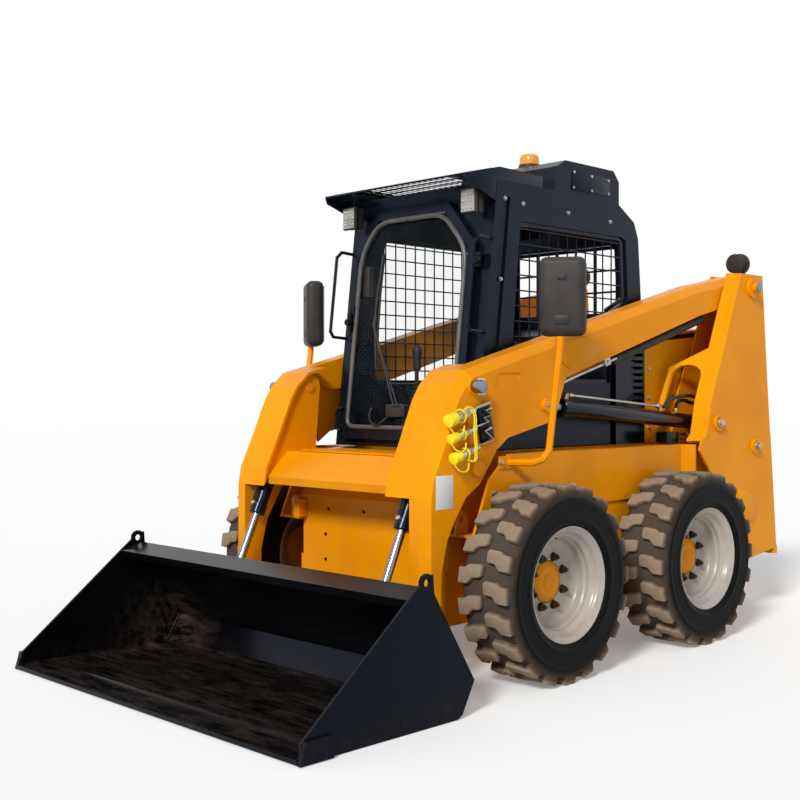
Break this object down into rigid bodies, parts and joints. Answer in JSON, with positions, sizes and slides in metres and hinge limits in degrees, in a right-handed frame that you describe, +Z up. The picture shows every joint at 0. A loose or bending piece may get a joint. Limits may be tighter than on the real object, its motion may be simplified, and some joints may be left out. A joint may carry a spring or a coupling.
{
  "type": "skid steer loader",
  "caption": "Compact wheeled loader with a closed cab, lift arms on rear towers, hydraulic cylinders and a low-profile bucket.",
  "frame": {"origin": "on the ground, in the middle of the machine's length and width", "axes": "+Z up; forward, towards the bucket, is -Y; +X is the machine's left side"},
  "size_m": [1.832, 3.384, 2.275],
  "materials": {
    "yellow_paint": "gloss construction yellow, dusty low down",
    "cab_paint": "satin dark slate",
    "black_paint": "gloss black",
    "rim_silver": "satin silver",
    "tyre": "matt black rubber, dusty tread",
    "rod_chrome": "polished",
    "coupler_steel": "plated",
    "engine_iron": "matt",
    "cab_glass": "clear, a little dusty",
    "seat_vinyl": "black vinyl",
    "black_plastic": "satin black",
    "amber_lens": "amber lens"
  },
  "bodies": {
    "chassis": {"main_frame": "yellow_paint", "front_shelf_left": "yellow_paint", "front_shelf_right": "yellow_paint", "tower_left": "yellow_paint", "tower_right": "yellow_paint", "rear_lamp_left": "black_plastic", "rear_lamp_right": "black_plastic", "side_panel_left": "yellow_paint", "side_panel_right": "yellow_paint", "side_vent_left": "black_paint", "side_vent_right": "black_paint", "engine_block": "engine_iron", "cab_frame": "cab_paint", "rear_screen": "black_paint", "grab_handle_left": "black_paint", "grab_handle_right": "black_paint", "side_mesh_left": "black_paint", "side_mesh_right": "black_paint", "ac_unit": "cab_paint", "beacon": "amber_lens", "roof_guard": "cab_paint", "seat": "seat_vinyl", "mirror_arm_left": "yellow_paint", "mirror_arm_right": "yellow_paint", "mirror_left": "black_plastic", "mirror_right": "black_plastic"},
    "boom": {"arm_left": "yellow_paint", "arm_right": "yellow_paint", "crossbar": "yellow_paint", "coupler_bank": "coupler_steel", "arm_pipes_left": "coupler_steel"},
    "bucket": {"bucket": "black_paint", "attach_frame": "black_paint"},
    "cab_door": {"door_frame": "cab_paint", "door_glass": "cab_glass"},
    "rear_door": {"rear_door": "yellow_paint"},
    "engine_hood": {"engine_hood": "yellow_paint"},
    "lift_barrel_left": {"lift_barrel_left": "black_paint"},
    "lift_barrel_right": {"lift_barrel_right": "black_paint"},
    "lift_rod_left": {"lift_rod_left": "rod_chrome"},
    "lift_rod_right": {"lift_rod_right": "rod_chrome"},
    "tilt_barrel_left": {"tilt_barrel_left": "black_paint"},
    "tilt_barrel_right": {"tilt_barrel_right": "black_paint"},
    "tilt_rod_left": {"tilt_rod_left": "rod_chrome"},
    "tilt_rod_right": {"tilt_rod_right": "rod_chrome"},
    "wheel_front_left": {"tyre_front_left": "tyre", "rim_front_left": "rim_silver", "hub_front_left": "yellow_paint"},
    "wheel_front_right": {"tyre_front_right": "tyre", "rim_front_right": "rim_silver", "hub_front_right": "yellow_paint"},
    "wheel_rear_left": {"tyre_rear_left": "tyre", "rim_rear_left": "rim_silver", "hub_rear_left": "yellow_paint"},
    "wheel_rear_right": {"tyre_rear_right": "tyre", "rim_rear_right": "rim_silver", "hub_rear_right": "yellow_paint"}
  },
  "joints": [
    {"name": "wheel_front_left_spin", "type": "hinge", "parent": "chassis", "child": "wheel_front_left", "pos_m": [0.756, -0.3285, 0.385], "axis": [1, 0, 0], "continuous": true},
    {"name": "wheel_front_right_spin", "type": "hinge", "parent": "chassis", "child": "wheel_front_right", "pos_m": [-0.756, -0.3285, 0.385], "axis": [1, 0, 0], "continuous": true},
    {"name": "wheel_rear_left_spin", "type": "hinge", "parent": "chassis", "child": "wheel_rear_left", "pos_m": [0.756, 0.6715, 0.385], "axis": [1, 0, 0], "continuous": true},
    {"name": "wheel_rear_right_spin", "type": "hinge", "parent": "chassis", "child": "wheel_rear_right", "pos_m": [-0.756, 0.6715, 0.385], "axis": [1, 0, 0], "continuous": true},
    {"name": "boom_lift", "type": "hinge", "parent": "chassis", "child": "boom", "pos_m": [0, 1.4315, 1.655], "axis": [-1, 0, 0], "range_deg": [0, 60]},
    {"name": "bucket_tilt", "type": "hinge", "parent": "boom", "child": "bucket", "pos_m": [0, -0.8085, 0.18], "axis": [1, 0, 0], "range_deg": [-25, 100]},
    {"name": "lift_barrel_left_swing", "type": "hinge", "parent": "chassis", "child": "lift_barrel_left", "pos_m": [0.55, 1.1055, 0.98], "axis": [-1, 0, 0], "range_deg": [0, 60]},
    {"name": "lift_barrel_right_swing", "type": "hinge", "parent": "chassis", "child": "lift_barrel_right", "pos_m": [-0.55, 1.1055, 0.98], "axis": [-1, 0, 0], "range_deg": [0, 60]},
    {"name": "lift_rod_left_slide", "type": "slide", "parent": "lift_barrel_left", "child": "lift_rod_left", "axis": [0, -0.9971, 0.0761], "range_m": [0, 0.76]},
    {"name": "lift_rod_right_slide", "type": "slide", "parent": "lift_barrel_right", "child": "lift_rod_right", "axis": [0, -0.9971, 0.0761], "range_m": [0, 0.76]},
    {"name": "tilt_barrel_left_swing", "type": "hinge", "parent": "boom", "child": "tilt_barrel_left", "pos_m": [0.452, -0.5785, 1.15], "axis": [1, 0, 0], "range_deg": [-1, 3]},
    {"name": "tilt_barrel_right_swing", "type": "hinge", "parent": "boom", "child": "tilt_barrel_right", "pos_m": [-0.452, -0.5785, 1.15], "axis": [1, 0, 0], "range_deg": [-1, 3]},
    {"name": "tilt_rod_left_slide", "type": "slide", "parent": "tilt_barrel_left", "child": "tilt_rod_left", "axis": [0, -0.4104, -0.9119], "range_m": [-0.1, 0.38]},
    {"name": "tilt_rod_right_slide", "type": "slide", "parent": "tilt_barrel_right", "child": "tilt_rod_right", "axis": [0, -0.4104, -0.9119], "range_m": [-0.1, 0.38]},
    {"name": "cab_door_hinge", "type": "hinge", "parent": "chassis", "child": "cab_door", "pos_m": [0.393, -0.4053, 0.96], "axis": [0, 0.1162, 0.9932], "range_deg": [0, 80]},
    {"name": "rear_door_hinge", "type": "hinge", "parent": "chassis", "child": "rear_door", "pos_m": [-0.436, 1.6315, 0.8], "axis": [0, -0.0343, 0.9994], "range_deg": [0, 100]},
    {"name": "engine_hood_hinge", "type": "hinge", "parent": "chassis", "child": "engine_hood", "pos_m": [0, 0.8865, 1.425], "axis": [1, 0, 0], "range_deg": [0, 60]}
  ],
  "couplings": [
    {"joint": "lift_barrel_left_swing", "follows": "boom_lift", "ratio": 0.9463},
    {"joint": "lift_barrel_right_swing", "follows": "boom_lift", "ratio": 0.9463},
    {"joint": "lift_rod_left_slide", "follows": "boom_lift", "m_per_rad": 0.7108},
    {"joint": "lift_rod_right_slide", "follows": "boom_lift", "m_per_rad": 0.7108},
    {"joint": "tilt_barrel_left_swing", "follows": "bucket_tilt", "ratio": 0.02},
    {"joint": "tilt_barrel_right_swing", "follows": "bucket_tilt", "ratio": 0.02},
    {"joint": "tilt_rod_left_slide", "follows": "bucket_tilt", "m_per_rad": 0.212},
    {"joint": "tilt_rod_right_slide", "follows": "bucket_tilt", "m_per_rad": 0.212}
  ]
}
